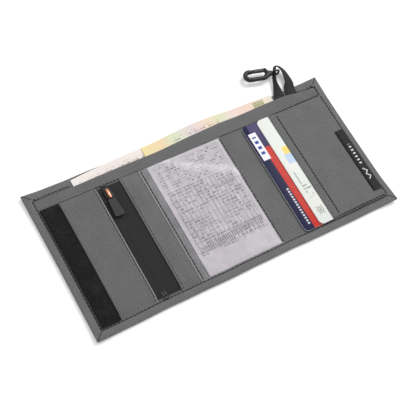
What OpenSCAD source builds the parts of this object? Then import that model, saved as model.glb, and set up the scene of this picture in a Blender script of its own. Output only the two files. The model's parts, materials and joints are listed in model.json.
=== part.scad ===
// Trifold travel wallet, lying open on its back, in millimetres.
// +X runs along the long side towards the card panel, +Y towards the banknote opening, +Z up.
// The origin is the middle of the open wallet's underside.

/* [Wallet] */
// Length of the open wallet
open_l = 228; // [222:1:236]
// Width of the open wallet, which is its height when folded
open_w = 107.2; // [106:0.2:112]
// Distance of the left fold from the middle
left_fold_x = -37; // [-38:0.5:-36]
// Distance of the right fold from the middle
right_fold_x = 39.5; // [38.5:0.5:40]
// Width of the border tape that binds the edge
border_w = 5.8; // [5:0.1:6]
// Height of the strip of the back wall that shows above the inner wall
lip_w = 7.3; // [5:0.1:9]
// Width of the doubled hem along the inner wall's top
hem_w = 7.4; // [5:0.1:9]

/* [Fabric] */
// Thickness of the outer shell
shell_t = 0.4; // [0.3:0.05:0.5]
// Thickness of a lining or pocket layer
lining_t = 0.2; // [0.15:0.05:0.2]
// Thickness of the inner wall and the pocket faces
face_t = 0.25; // [0.2:0.05:0.3]
// Height of the banknote compartment
note_gap = 0.8; // [0.7:0.05:0.9]

/* [Zip and fastener] */
// Distance of the zip's line from the middle
zip_x = -63; // [-65:0.5:-61]
// Width of the hook and loop strips
hook_w = 13; // [10:0.5:14]
// Where the slider rests along the zip
slider_y = 31.5; // [20:0.5:32]
// Length of the zip pull
pull_l = 14.5; // [10:0.5:18]

/* [Contents] */
// Long side of a bank card
card_l = 85.6; // [85.5:0.05:85.6]
// Short side of a bank card
card_w = 53.98; // [53.9:0.01:54]
// Thickness of a bank card
card_t = 0.76; // [0.7:0.01:0.8]
// Left edge of the rear card
navy_x = 42; // [41.5:0.1:43]
// Left edge of the front card
white_x = 53.7; // [53:0.1:53.8]

/* [Snap hook] */
// Angle of the snap hook from +X
hook_turn = 166.5; // [160:0.5:172]
// Thickness of the hook's body
hook_t = 4; // [3:0.2:4]
// Outer radius of the hook's nose
nose_r = 4.8; // [4.6:0.1:5]

/* [Hidden] */

$fn = 48;

// outline of the open wallet
left = -open_l / 2;
right = open_l / 2;
bottom = -open_w / 2;
top = open_w / 2;
wall_top = top - lip_w;
hem_bottom = wall_top - hem_w;
seam_left = left + border_w;
seam_right = right - border_w;
seam_bottom = bottom + border_w;
fold_gap = 0.3; // each panel stops this far short of a fold's axis
edge_t = 0.5;   // thickness of the border tape under the shell
inset = 0.6;    // the layers stop this far inside the folded border

// layers, from the table up
shell_z = edge_t;
lining_z = shell_z + shell_t;
notes_z = lining_z + lining_t;
wall_z = notes_z + note_gap;
wall_top_z = wall_z + face_t;
panel_z = wall_top_z;
panel_top_z = panel_z + face_t;
insert_z = panel_top_z + 0.05;
insert_t = 0.15;
film_z = insert_z + insert_t + 0.1;
film_t = 0.2;
film_top_z = film_z + film_t;
navy_z = film_top_z + 0.1;
white_z = navy_z + card_t + 0.09;
pocket_z = white_z + card_t + 0.09;
pocket_top_z = pocket_z + face_t;
label_z = pocket_top_z + 0.05;
label_t = 0.3;
label_top_z = label_z + label_t;

// the panels by x: a panel's left and right ends
panel_left = [left + inset, left_fold_x - fold_gap];
panel_middle = [left_fold_x + fold_gap, right_fold_x - fold_gap];
panel_right = [right_fold_x + fold_gap, right - inset];

// coin pocket and zip
zip_left_x = -69;   // the folded edge of the face left of the zip
zip_right_x = -51.8;
bag_right_x = -45;
bag_z = wall_top_z;
coil_z = bag_z + lining_t + 0.4;
coil_t = 0.4;
coil_w = 1.05;
tape_z = coil_z + coil_t;
tape_t = 0.25;
coin_face_z = tape_z + tape_t;
coin_face_top_z = coin_face_z + face_t;
hook_strip_t = 1.4;
half_gap = 0.35;    // half the gap between the two tapes at the zip's line
zip_y0 = seam_bottom + 0.3;
zip_y1 = hem_bottom - 0.3;
// the loop strip's left edge, under the hook strip once both panels are folded
strip_x = 2 * right_fold_x - (2 * left_fold_x - seam_left - 0.4);
slider_z = coin_face_top_z - face_t + 0.1;
slider_t = 0.8;
bridge_t = 0.95;
slider_top_z = slider_z + slider_t + bridge_t;
pull_y = slider_y - 1.2;
pull_z = slider_z + slider_t + 0.25;

// cards, in the pocket with 0.2 to spare at each end
card_y0 = seam_bottom + 0.3 + 0.2;
pocket_mouth_x = 63.8;
card_r = 3.18;

// webbing, swivel ring and hook
tab_z = notes_z + 0.26;
tab_t = 0.5;
web_x0 = 77.2;
web_x1 = 94.4;
web_t = 1.2;
web_pivot = [top + 1.4, 1.96]; // the line about which the loop lifts, y and z
web_rise = 7;                  // degrees by which the loop rises off the table
hook_x = 88.3;
hook_y = 67.4;
hook_at = [hook_x, hook_y, web_pivot[1] + (hook_y - web_pivot[0]) * tan(web_rise) + 0.7];
pin_u = 7.4;
pin_v = 3.2;
pin_r = 0.6;
nose_u = 19.6;
arm_w = 3.4;
ring_wire = 1.2;
stem_r = 1.2;
stem_clear = 0.25;

// banknotes, each cut at the fold that it crosses
note_t = 0.15;
note_w = 62;
note_cut = 0.2;
note_a_x = [-80, 37];
note_b_x = [-27.4, 75.6];
note_a_top = 54.2;
note_b_top = 57;
note_a_z = notes_z + 0.26;
note_b_z = note_a_z + 0.26;

// window, its paper and the sewn label
window_right_x = 25.1;
paper_x = [-31, 23.8];
label_w = 7.3;
label_y = [-42, 8];
sewn_w = 0.8; // width of a sewn edge that is turned down

module slab(x, y, z) {
    translate([x[0], y[0], z[0]])
        cube([x[1] - x[0], y[1] - y[0], z[1] - z[0]]);
}

// a flat sheet with rounded corners
module rounded_sheet(x, y, r) {
    translate([x[0] + r, y[0]])
        square([x[1] - x[0] - 2 * r, y[1] - y[0]]);
    translate([x[0], y[0] + r])
        square([x[1] - x[0], y[1] - y[0] - 2 * r]);
    for (cx = [x[0] + r, x[1] - r], cy = [y[0] + r, y[1] - r])
        translate([cx, cy])
            circle(r);
}

// border tape folded over an edge that runs along X; side is +1 for the top edge
module border_along_x(x, edge_y, side, leg_z, leg_t) {
    width = side * border_w;
    y_in = min(edge_y - width, edge_y);
    y_out = max(edge_y - width, edge_y);
    wall = [min(edge_y - side * 0.4, edge_y), max(edge_y - side * 0.4, edge_y)];
    union() {
        slab(x, [y_in, y_out], [0, edge_t]);
        slab(x, [y_in, y_out], [leg_z, leg_z + leg_t]);
        slab(x, wall, [0, leg_z + leg_t]);
    }
}

// border tape folded over a short side; side is +1 for the right side
module border_along_y(edge_x, side) {
    x_in = edge_x - side * border_w;
    x = [min(x_in, edge_x), max(x_in, edge_x)];
    x_wall = edge_x - side * 0.4;
    wall = [min(x_wall, edge_x), max(x_wall, edge_x)];
    y = [bottom + border_w, top - border_w];
    union() {
        slab(x, y, [0, edge_t]);
        slab(x, y, [wall_top_z, wall_top_z + 0.4]);
        slab(wall, y, [0, wall_top_z + 0.4]);
    }
}

lip_leg_z = notes_z;  // the top border's upper leg lies on the lining
lip_leg_t = 0.2;
edge_leg_z = wall_top_z;
edge_leg_t = 0.4;

// outer fabric; inside the border's lower leg it is backed down to the table
module shell(x, field_x) {
    color("dimgray")
        union() {
            slab(x, [bottom + inset, top - inset], [shell_z, shell_z + shell_t]);
            slab(field_x, [seam_bottom + 0.1, top - border_w - 0.1], [0, shell_z]);
        }
}
module shell_left() { shell(panel_left, [seam_left + 0.1, panel_left[1]]); }
module shell_middle() { shell(panel_middle, panel_middle); }
module shell_right() {
    difference() {
        shell(panel_right, [panel_right[0], seam_right - 0.1]);
        color("dimgray")
            slab([strip_x - 0.1, strip_x + hook_w + 0.1], [zip_y0 - 0.1, zip_y1 + 0.1],
                 [-1, shell_z]);
    }
}

module lining(x) {
    color("gray")
        slab(x, [bottom + inset, top - inset], [lining_z, lining_z + lining_t]);
}
module lining_left() { lining(panel_left); }
module lining_middle() { lining(panel_middle); }
module lining_right() { lining(panel_right); }

// the compartment's front wall, doubled along its top into a hem
module inner_wall(x, hem_x) {
    color("dimgray")
        union() {
            slab(x, [bottom + inset, wall_top], [wall_z, wall_top_z]);
            slab(hem_x, [hem_bottom, wall_top], [wall_z, panel_top_z]);
        }
}
module inner_wall_left() { inner_wall(panel_left, [seam_left, panel_left[1]]); }
module inner_wall_middle() { inner_wall(panel_middle, panel_middle); }
module inner_wall_right() { inner_wall(panel_right, [panel_right[0], seam_right]); }

module border_left_side() { color("gray") border_along_y(left, -1); }
module border_right_side() { color("gray") border_along_y(right, 1); }
module border_left_bottom() {
    color("gray") border_along_x([left, panel_left[1]], bottom, -1, edge_leg_z, edge_leg_t);
}
module border_middle_bottom() {
    color("gray") border_along_x(panel_middle, bottom, -1, edge_leg_z, edge_leg_t);
}
module border_right_bottom() {
    color("gray") border_along_x([panel_right[0], right], bottom, -1, edge_leg_z, edge_leg_t);
}
module border_left_top() {
    color("gray") border_along_x([left, panel_left[1]], top, 1, lip_leg_z, lip_leg_t);
}
module border_middle_top() {
    color("gray") border_along_x(panel_middle, top, 1, lip_leg_z, lip_leg_t);
}
module border_right_top() {
    color("gray") border_along_x([panel_right[0], right], top, 1, lip_leg_z, lip_leg_t);
}

module hook_strip() {
    color([0.1, 0.1, 0.11])
        slab([seam_left + 0.4, seam_left + 0.4 + hook_w], [zip_y0, zip_y1],
             [coin_face_top_z, coin_face_top_z + hook_strip_t]);
}

// lies where the hook strip lands when both side panels are folded
module loop_strip() {
    color([0.1, 0.1, 0.11])
        slab([strip_x, strip_x + hook_w], [zip_y0, zip_y1], [0, edge_t]);
}

module coin_pocket_bag() {
    color([0.2, 0.2, 0.2])
        slab([seam_left + 2, bag_right_x], [zip_y0, zip_y1], [bag_z, bag_z + lining_t]);
}

// pocket face with its sewn edges turned down onto the inner wall
module coin_pocket_face_left() {
    color("dimgray")
        union() {
            slab([seam_left, zip_left_x], [seam_bottom, hem_bottom],
                 [coin_face_z, coin_face_top_z]);
            slab([seam_left, seam_left + sewn_w], [seam_bottom, hem_bottom],
                 [panel_z, coin_face_top_z]);
        }
}
module coin_pocket_face_right() {
    color("dimgray")
        union() {
            slab([zip_right_x, panel_left[1]], [seam_bottom, hem_bottom],
                 [coin_face_z, coin_face_top_z]);
            slab([panel_left[1] - sewn_w, panel_left[1]], [seam_bottom, hem_bottom],
                 [panel_z, coin_face_top_z]);
        }
}

module zip_tape_left() {
    color([0.18, 0.18, 0.19])
        slab([zip_left_x - 4, zip_x - half_gap], [zip_y0, zip_y1], [tape_z, tape_z + tape_t]);
}
module zip_tape_right() {
    color([0.18, 0.18, 0.19])
        slab([zip_x + half_gap, zip_right_x + 3], [zip_y0, zip_y1], [tape_z, tape_z + tape_t]);
}
module zip_coil_left() {
    color([0.15, 0.15, 0.15])
        slab([zip_x - half_gap - coil_w, zip_x - half_gap], [zip_y0 + 2, zip_y1 - 1.5],
             [coil_z, tape_z]);
}
module zip_coil_right() {
    color([0.15, 0.15, 0.15])
        slab([zip_x + half_gap, zip_x + half_gap + coil_w], [zip_y0 + 2, zip_y1 - 1.5],
             [coil_z, tape_z]);
}
module zip_top_stop() {
    color([0.6, 0.45, 0.38])
        slab([zip_x - 1.6, zip_x + 1.6], [zip_y1 - 1.2, zip_y1],
             [tape_z + tape_t, tape_z + tape_t + 0.6]);
}
module zip_bottom_stop() {
    color([0.6, 0.45, 0.38])
        slab([zip_x - 1.6, zip_x + 1.6], [zip_y0, zip_y0 + 1.2],
             [tape_z + tape_t, tape_z + tape_t + 0.6]);
}

// two plates joined by a neck between the coils, with a bridge that holds the pull
module zip_slider() {
    color([0.6, 0.45, 0.38])
        difference() {
            union() {
                translate([0, 0, slider_z])
                    linear_extrude(slider_t)
                        rounded_sheet([zip_x - 2.6, zip_x + 2.6], [slider_y - 4, slider_y + 4], 1.6);
                slab([zip_x - 1.9, zip_x + 1.9], [slider_y - 3.4, slider_y + 3.4],
                     [coil_z - 0.3, coil_z - 0.1]);
                slab([zip_x - 0.22, zip_x + 0.22], [slider_y - 1.2, slider_y + 2.8],
                     [coil_z - 0.2, slider_z + 0.1]);
                slab([zip_x - 0.9, zip_x + 0.9], [slider_y - 3.2, slider_y + 3.2],
                     [slider_z + 0.1, slider_top_z]);
            }
            translate([zip_x - 2, pull_y, pull_z])
                rotate([0, 90, 0])
                    cylinder(r = 0.4, h = 4);
        }
}

// moulded pull: a wire bail through the bridge and a tapered grip
module zip_pull() {
    grip_y = pull_y - 3.2;
    color([0.22, 0.21, 0.21])
        union() {
            translate([zip_x - 1.6, pull_y, pull_z])
                rotate([0, 90, 0])
                    cylinder(r = 0.22, h = 3.2);
            for (x = [-1.75, 1.25])
                slab([zip_x + x, zip_x + x + 0.5], [grip_y - 0.2, pull_y + 0.22],
                     [pull_z - 0.22, pull_z + 0.22]);
            translate([0, 0, pull_z - 0.22])
                linear_extrude(1)
                    union() {
                        polygon([[zip_x - 2.6, grip_y], [zip_x + 2.6, grip_y],
                                 [zip_x + 3.4, grip_y - pull_l + 3],
                                 [zip_x - 3.4, grip_y - pull_l + 3]]);
                        translate([zip_x - 1.9, grip_y - pull_l + 3])
                            circle(1.5);
                        translate([zip_x + 1.9, grip_y - pull_l + 3])
                            circle(1.5);
                        translate([zip_x - 1.9, grip_y - pull_l + 1.5])
                            square([3.8, 2]);
                    }
        }
}

// clear film, sewn down on three sides and open at the top
module window_film() {
    x = [panel_middle[0], window_right_x];
    color([0.8, 0.82, 0.84, 0.4])
        union() {
            slab(x, [seam_bottom, hem_bottom], [film_z, film_top_z]);
            slab([x[0], x[0] + sewn_w], [seam_bottom, hem_bottom], [panel_z, film_top_z]);
            slab([x[1] - sewn_w, x[1]], [seam_bottom, hem_bottom], [panel_z, film_top_z]);
            slab(x, [seam_bottom, seam_bottom + 0.4], [panel_z, film_top_z]);
        }
}
module insert_paper() {
    color([0.77, 0.74, 0.77])
        slab(paper_x, [seam_bottom + 0.8, hem_bottom - 0.4], [insert_z, insert_z + insert_t]);
}

module card_panel_middle() {
    color("dimgray")
        slab([window_right_x, panel_middle[1]], [seam_bottom, hem_bottom], [panel_z, panel_top_z]);
}
module card_panel_right() {
    color("dimgray")
        slab([panel_right[0], seam_right], [seam_bottom, hem_bottom], [panel_z, panel_top_z]);
}

// open along its left edge; the other three edges are turned down and sewn
module card_pocket_face() {
    y = [seam_bottom, hem_bottom + 0.1];
    color("dimgray")
        union() {
            slab([pocket_mouth_x, seam_right], y, [pocket_z, pocket_top_z]);
            slab([seam_right - 0.35, seam_right], y, [panel_top_z, pocket_top_z]);
            slab([pocket_mouth_x, seam_right], [y[0], y[0] + 0.3], [panel_top_z, pocket_top_z]);
            slab([pocket_mouth_x, seam_right], [y[1] - 0.3, y[1]], [panel_top_z, pocket_top_z]);
        }
}

module bank_card(x, z) {
    translate([0, 0, z])
        linear_extrude(card_t)
            rounded_sheet([x, x + card_w], [card_y0, card_y0 + card_l], card_r);
}
module card_navy() { color([0.14, 0.14, 0.31]) bank_card(navy_x, navy_z); }
module card_white() { color([0.93, 0.95, 0.92]) bank_card(white_x, white_z); }

module side_label() {
    color([0.13, 0.13, 0.14])
        slab([seam_right - label_w, seam_right], label_y, [label_z, label_top_z]);
}

// the webbing's two ends, sewn down inside the banknote compartment
module webbing_tab() {
    color([0.15, 0.15, 0.15])
        for (x = [[web_x0, web_x0 + 8.2], [web_x0 + 8.7, web_x1]])
            slab(x, [wall_top - 12, web_pivot[0] - 0.5], [tab_z, tab_z + tab_t]);
}

// the webbing's free loop: two legs that meet over the swivel ring
module webbing_loop() {
    color([0.15, 0.15, 0.15])
        translate([0, web_pivot[0], web_pivot[1]])
            rotate([web_rise, 0, 0])
                translate([0, -web_pivot[0], -web_t / 2])
                    linear_extrude(web_t)
                        difference() {
                            polygon([[web_x0, web_pivot[0]], [80.5, 59.5], [84, 62.8],
                                     [86.5, 65], [87.7, 70], [89, 72], [91.8, 72.6],
                                     [94.6, 70.4], [96.4, 66], [97, 61], [96.8, 57.5],
                                     [web_x1 + 1, web_pivot[0]]]);
                            polygon([[86.6, 57.8], [85.8, 60.2], [87.4, 63], [88.9, 65.2],
                                     [90, 69.6], [91.6, 69.6], [92.4, 66], [91.2, 61.5],
                                     [89.4, 58]]);
                        }
}

module at_hook() {
    translate(hook_at)
        rotate([0, 0, hook_turn])
            mirror([0, 1, 0])
                children();
}

// rounded ring round the webbing, with a headed stem that turns in the hook's barrel
module swivel_ring() {
    color([0.12, 0.12, 0.12])
        at_hook()
            union() {
                rotate([90, 0, 0])
                    translate([0, 0, -ring_wire / 2])
                        linear_extrude(ring_wire)
                            difference() {
                                rounded_sheet([-2.7, 2.7], [-3.3, 3.3], 1.8);
                                rounded_sheet([-1.5, 1.5], [-2.3, 2.3], 1);
                            }
                translate([2.2, 0, 0])
                    rotate([0, 90, 0])
                        cylinder(r = stem_r, h = 2.6);
                translate([4.4, 0, 0])
                    rotate([0, 90, 0])
                        cylinder(r = 1.8, h = 0.8);
            }
}

// body: barrel, fork for the gate, straight arm and round nose
module snap_hook() {
    color([0.14, 0.14, 0.14])
        at_hook()
            difference() {
                union() {
                    translate([3, 0, 0])
                        rotate([0, 90, 0])
                            cylinder(r = 3, h = 3.6);
                    translate([0, 0, -hook_t / 2])
                        linear_extrude(hook_t)
                            union() {
                                rounded_sheet([5.9, 9], [-nose_r, nose_r], 1.2);
                                translate([7, -nose_r])
                                    square([nose_u - 7, arm_w]);
                                translate([nose_u - 2.7, nose_r - arm_w])
                                    square([2.7, arm_w]);
                                difference() {
                                    translate([nose_u, 0])
                                        circle(nose_r);
                                    translate([nose_u, 0])
                                        circle(nose_r - arm_w);
                                    translate([nose_u - 6, -nose_r - 1])
                                        square([6, 2 * nose_r + 2]);
                                }
                            }
                }
                translate([2, 0, 0])
                    rotate([0, 90, 0])
                        cylinder(r = stem_r + stem_clear, h = 2.3);
                translate([4.2, 0, 0])
                    rotate([0, 90, 0])
                        cylinder(r = 1.8 + stem_clear, h = 1.2);
                slab([5.8, 10], [1, nose_r + 1], [-1.4, 1.4]);
                translate([pin_u, pin_v, -hook_t])
                    cylinder(r = pin_r, h = 2 * hook_t);
            }
}

module hook_gate() {
    color([0.2, 0.2, 0.2])
        at_hook()
            translate([0, 0, -1.2])
                linear_extrude(2.4)
                    difference() {
                        union() {
                            translate([pin_u, pin_v])
                                circle(1.3);
                            translate([pin_u, pin_v - 1.1])
                                square([nose_u - 3 - pin_u, 2.2]);
                        }
                        translate([pin_u, pin_v])
                            circle(pin_r + 0.1);
                    }
}
module gate_pin() {
    color("silver")
        at_hook()
            translate([pin_u, pin_v, -hook_t / 2])
                cylinder(r = pin_r, h = hook_t);
}

module banknote(x, y1, z) {
    slab(x, [y1 - note_w, y1], [z, z + note_t]);
}
module note_a_left() {
    color([0.93, 0.89, 0.87])
        banknote([note_a_x[0], left_fold_x - note_cut], note_a_top, note_a_z);
}
module note_a_middle() {
    color([0.93, 0.89, 0.87])
        banknote([left_fold_x + note_cut, note_a_x[1]], note_a_top, note_a_z);
}
module note_b_middle() {
    color([0.95, 0.85, 0.6])
        banknote([note_b_x[0], right_fold_x - note_cut], note_b_top, note_b_z);
}
module note_b_right() {
    color([0.95, 0.85, 0.6])
        banknote([right_fold_x + note_cut, note_b_x[1]], note_b_top, note_b_z);
}

shell_left();
shell_middle();
shell_right();
lining_left();
lining_middle();
lining_right();
inner_wall_left();
inner_wall_middle();
inner_wall_right();
border_left_side();
border_left_bottom();
border_left_top();
border_middle_bottom();
border_middle_top();
border_right_side();
border_right_bottom();
border_right_top();
hook_strip();
loop_strip();
coin_pocket_bag();
coin_pocket_face_left();
coin_pocket_face_right();
zip_tape_left();
zip_tape_right();
zip_coil_left();
zip_coil_right();
zip_top_stop();
zip_bottom_stop();
zip_slider();
zip_pull();
window_film();
insert_paper();
card_panel_middle();
card_panel_right();
card_pocket_face();
card_navy();
card_white();
side_label();
webbing_tab();
webbing_loop();
swivel_ring();
snap_hook();
hook_gate();
gate_pin();
note_a_left();
note_a_middle();
note_b_middle();
note_b_right();
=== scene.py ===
"""The looks of the trifold travel wallet: cloth, zip, film, cards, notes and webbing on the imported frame."""

import json
import math

import bmesh
import bpy
from mathutils import Matrix, Vector, noise


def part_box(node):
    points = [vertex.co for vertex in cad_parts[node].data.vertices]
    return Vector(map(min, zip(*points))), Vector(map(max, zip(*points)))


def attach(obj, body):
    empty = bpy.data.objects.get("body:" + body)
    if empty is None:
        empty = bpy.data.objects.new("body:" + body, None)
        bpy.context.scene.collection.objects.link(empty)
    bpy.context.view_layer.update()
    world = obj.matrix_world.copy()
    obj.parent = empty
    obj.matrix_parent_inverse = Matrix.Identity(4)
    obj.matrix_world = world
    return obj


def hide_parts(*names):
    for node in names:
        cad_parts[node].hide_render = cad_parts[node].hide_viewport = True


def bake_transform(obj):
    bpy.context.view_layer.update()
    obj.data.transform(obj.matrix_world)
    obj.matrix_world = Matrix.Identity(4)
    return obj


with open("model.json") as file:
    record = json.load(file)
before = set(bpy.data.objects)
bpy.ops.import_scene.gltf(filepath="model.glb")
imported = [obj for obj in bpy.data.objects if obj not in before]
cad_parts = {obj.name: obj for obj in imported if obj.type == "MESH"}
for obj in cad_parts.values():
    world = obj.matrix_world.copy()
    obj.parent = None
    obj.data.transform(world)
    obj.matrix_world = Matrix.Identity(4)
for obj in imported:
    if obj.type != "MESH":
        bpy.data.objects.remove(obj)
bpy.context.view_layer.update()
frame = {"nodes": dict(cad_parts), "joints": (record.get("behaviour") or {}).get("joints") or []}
MM = 0.001


# ---------------------------------------------------------------- places, in millimetres

def low(node):
    """A CAD node's lowest corner."""
    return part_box(node)[0] / MM


def high(node):
    """A CAD node's highest corner."""
    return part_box(node)[1] / MM


joint_at = {j["name"]: Vector(j["pos_m"]) / MM for j in frame["joints"] if "pos_m" in j}

LEFT = low("border_left_side").x
RIGHT = high("border_right_side").x
BOTTOM = low("border_left_bottom").y
TOP = high("border_left_top").y
SEAM_LEFT = high("border_left_side").x
SEAM_RIGHT = low("border_right_side").x
SEAM_BOTTOM = high("border_left_bottom").y
BORDER = SEAM_LEFT - LEFT
WALL_TOP = high("inner_wall_left").y
HEM_BOTTOM = high("card_panel_right").y
WINDOW_LEFT = low("window_film").x
WINDOW_RIGHT = high("window_film").x
LEFT_FOLD = joint_at["left_fold"].x
RIGHT_FOLD = joint_at["right_fold"].x
# Places across a piece are set close within these distances of a fold, on the side panel's side.
LEFT_REACH = 8
RIGHT_REACH = 5.5

SHELL_Z = high("shell_left").z
LINING_Z = high("lining_left").z
WALL_Z = low("coin_pocket_bag").z
PANEL_Z = high("card_panel_right").z
COIN_Z = high("coin_pocket_face_left").z
ZIP_X = (low("zip_slider").x + high("zip_slider").x) / 2
ZIP_OPEN = (high("coin_pocket_face_left").x, low("coin_pocket_face_right").x)
CARD_FACE_Z = high("card_pocket_face").z
POCKET_MOUTH = low("card_pocket_face").x

EDGE_INSET = 0.6  # the cloth layers stop this far inside the border tape's fold
STITCH_INSET = 0.6  # the border's stitches run this far inside the tape's raw edge
LINING_THICK = 0.2
WALL_THICK = 0.3
PANEL_THICK = 0.25
TAPE_THICK = 0.25
TAPE_STEPS = 8  # steps from the border tape's raw edge to its fold over the wallet's edge
TAPE_STAND = 0.42  # the border's face stands this far above the inner wall
HEM_THICK = 0.5
HEM_FOLD = 0.2  # the doubled hem stands this far above the wall
SHEET_THICK = 0.12  # the film, the slip and the notes
UV_SPAN = 100  # the UV maps' unit in millimetres
WELD = 0.002  # corners nearer than this are one
CRISP = math.radians(42)  # edges sharper than this are shaded as edges


def ease(t):
    """0 to 1 with a soft start and end."""
    t = min(max(t, 0), 1)
    return t * t * (3 - 2 * t)


def rise(x, y):
    """How far the cloth stands off the table at its curled corners."""
    across, along = abs(x) / RIGHT, abs(y) / TOP
    corner = ease((across - 0.86) / 0.14) * ease((along - 0.6) / 0.4)
    curl = 1.6 if x > 0 and y < 0 else 0.7
    return corner * curl


def lie(x, y, z):
    """Where a point of the flat pattern comes to lie: hand-sewn edges aren't quite straight."""
    out = (abs(y) / TOP) ** 3 if y > 0 else 0.8 * (abs(y) / TOP) ** 3
    dy = -math.copysign(0.8, y) * (1 - (x / RIGHT) ** 2) * out
    dx = -math.copysign(0.5, x) * (1 - (y / TOP) ** 2) * abs(x / RIGHT) ** 3
    wander = 0.22 * math.sin(x / 13) * out + 0.1 * math.sin(x / 5.1 + 2) * out
    return Vector((x + dx, y + dy + wander, z + rise(x, y)))


# ---------------------------------------------------------------- materials

def rgb(text, alpha=1):
    """An sRGB hex value as a linear colour."""
    parts = [int(text[i : i + 2], 16) / 255 for i in (1, 3, 5)]
    linear = [c / 12.92 if c <= 0.04045 else ((c + 0.055) / 1.055) ** 2.4 for c in parts]
    return (*linear, alpha)


def add(tree, kind, inputs=(), out=0, **settings):
    """Adds a shader node and gives one of its outputs.

    inputs are sockets, numbers or hex colours, in order or by name; settings are the node's properties.
    """
    node = tree.nodes.new("ShaderNode" + kind)
    for name, value in settings.items():
        setattr(node, name, value)
    for name, value in inputs.items() if isinstance(inputs, dict) else enumerate(inputs):
        if isinstance(value, bpy.types.NodeSocket):
            tree.links.new(value, node.inputs[name])
        else:
            node.inputs[name].default_value = rgb(value) if isinstance(value, str) else value
    return node.outputs[out]


def plain_material(name, colour, roughness, **sockets):
    """A material with its shader's own sockets set. Gives the material, its tree and its shader."""
    material = bpy.data.materials.new(name)
    material.use_nodes = True
    tree = material.node_tree
    shader = tree.nodes["Principled BSDF"]
    shader.inputs["Base Color"].default_value = rgb(colour)
    shader.inputs["Roughness"].default_value = roughness
    for socket, value in sockets.items():
        shader.inputs[socket.replace("_", " ")].default_value = value
    return material, tree, shader


def flat_place(tree, spin=0):
    """Object coordinates in millimetres with the height taken out, so that a weave doesn't change with it."""
    place = add(tree, "TexCoord", out="Object")
    return add(tree, "Mapping", {"Vector": place, "Scale": (1000, 1000, 0),
                                 "Rotation": (0, 0, math.radians(spin))})


def tinted(tree, ground, ink, amount, strength=1.0):
    """The ground colour turned toward the ink by an amount socket."""
    share = add(tree, "Math", (amount, strength), operation="MULTIPLY")
    return add(tree, "Mix", {0: share, 6: ground, 7: ink}, 2, data_type="RGBA")


def surface(tree, shader, colour, height, depth):
    """Gives the shader its colour and its relief, which is a height socket and a depth in millimetres."""
    if colour:
        tree.links.new(colour, shader.inputs["Base Color"])
    bump = add(tree, "Bump", {"Height": height, "Distance": depth * MM, "Strength": 1.0})
    tree.links.new(bump, shader.inputs["Normal"])


def woven(name, dark, light, pitch, roughness, spin=0, depth=0.12):
    """Plain-woven cloth: warp and weft threads go over each other in a checker, with uneven yarn."""
    material, tree, shader = plain_material(name, dark, roughness, Sheen_Weight=0.15, Sheen_Roughness=0.5,
                                            Specular_IOR_Level=0.3)
    slub = 0.35
    place = flat_place(tree, spin)
    over = add(tree, "TexChecker", {"Vector": place, "Scale": 1 / pitch}, "Fac")
    warp, weft = [add(tree, "TexWave", {"Vector": place, "Scale": math.pi / 10 / pitch}, "Fac",
                      wave_type="BANDS", bands_direction=way, wave_profile="SIN") for way in ("X", "Y")]
    height = add(tree, "Mix", {0: over, 2: warp, 3: weft})
    yarn = add(tree, "TexNoise", {"Vector": place, "Scale": 0.9 / pitch, "Detail": 2})
    uneven = add(tree, "Math", (yarn, slub), operation="MULTIPLY")
    tone = add(tree, "Math", (height, 1 - slub, uneven), operation="MULTIPLY_ADD")
    tone = add(tree, "Math", (tone, 0.12), operation="SUBTRACT")
    blotches = add(tree, "TexNoise", {"Vector": place, "Scale": 0.05, "Detail": 3})
    tone = add(tree, "Math", (blotches, 0.25, tone), operation="MULTIPLY_ADD", use_clamp=True)
    surface(tree, shader, tinted(tree, dark, light, tone), height, depth)
    return material


# Oxford-woven nylon with a coated back: a dull two-tone grey. The weave is drawn at twice its real
# pitch of 0.5 mm so that it shows.
oxford_nylon = woven("oxford_nylon", "#313132", "#858586", 1.05, 0.8)
# The nylon of a folded edge, paler and smoother: a painted highlight where the edge catches the light.
painted_highlight_nylon = woven("painted_highlight_nylon", "#7c7c7e", "#bcbcbe", 1.05, 0.5, depth=0.05)
# The same nylon cut on the cross into binding tape, so its threads run at 45 degrees.
bias_binding = woven("bias_binding", "#333334", "#8a8a8b", 1.0, 0.75, spin=45)
# Thin polyester lining: finer, smoother and a little darker than the shell.
polyester_lining = woven("polyester_lining", "#39393a", "#68686a", 0.5, 0.6, depth=0.04)


def nap_material():
    """Nylon hook tape: a near-black pile of tiny hooks, which drinks the light."""
    material, tree, shader = plain_material("nylon_hook_tape", "#141415", 0.95, Specular_IOR_Level=0.15)
    place = flat_place(tree)
    pile = add(tree, "TexVoronoi", {"Vector": place, "Scale": 1.1, "Randomness": 0.7})
    lay = add(tree, "TexNoise", {"Vector": place, "Scale": 0.12, "Detail": 4, "Distortion": 0.6})
    surface(tree, shader, tinted(tree, "#111112", "#39393b",
                                 add(tree, "Math", (pile, lay), operation="MULTIPLY")), pile, 0.35)
    return material


hook_tape = nap_material()


def twill(name, dark, light, pitch, roughness, depth):
    """Herringbone zip tape or ribbed webbing: close diagonal ribs."""
    material, tree, shader = plain_material(name, dark, roughness, Sheen_Weight=0.1, Specular_IOR_Level=0.3)
    place = flat_place(tree)
    ribs = add(tree, "TexWave", {"Vector": place, "Scale": math.pi / 10 / pitch, "Distortion": 0.4,
                                 "Detail": 1, "Detail Scale": 4}, "Fac", wave_type="BANDS",
               bands_direction="DIAGONAL")
    fuzz = add(tree, "TexNoise", {"Vector": place, "Scale": 1.4, "Detail": 3})
    fuzz = add(tree, "Math", (fuzz, 0.4), operation="MULTIPLY")
    tone = add(tree, "Math", (ribs, 0.6, fuzz), operation="MULTIPLY_ADD")
    surface(tree, shader, tinted(tree, dark, light, tone), ribs, depth)
    return material


# Polyester zip tape: black twill with a faint light rib. Its ribs are drawn at 0.9 mm, coarser than real.
zip_twill = twill("polyester_zip_tape", "#161617", "#28282a", 0.9, 0.8, 0.05)
# Polyester webbing: black, with heavy ribs across it.
webbing_ribs = twill("polyester_webbing", "#09090a", "#29292a", 1.2, 0.7, 0.15)
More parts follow.
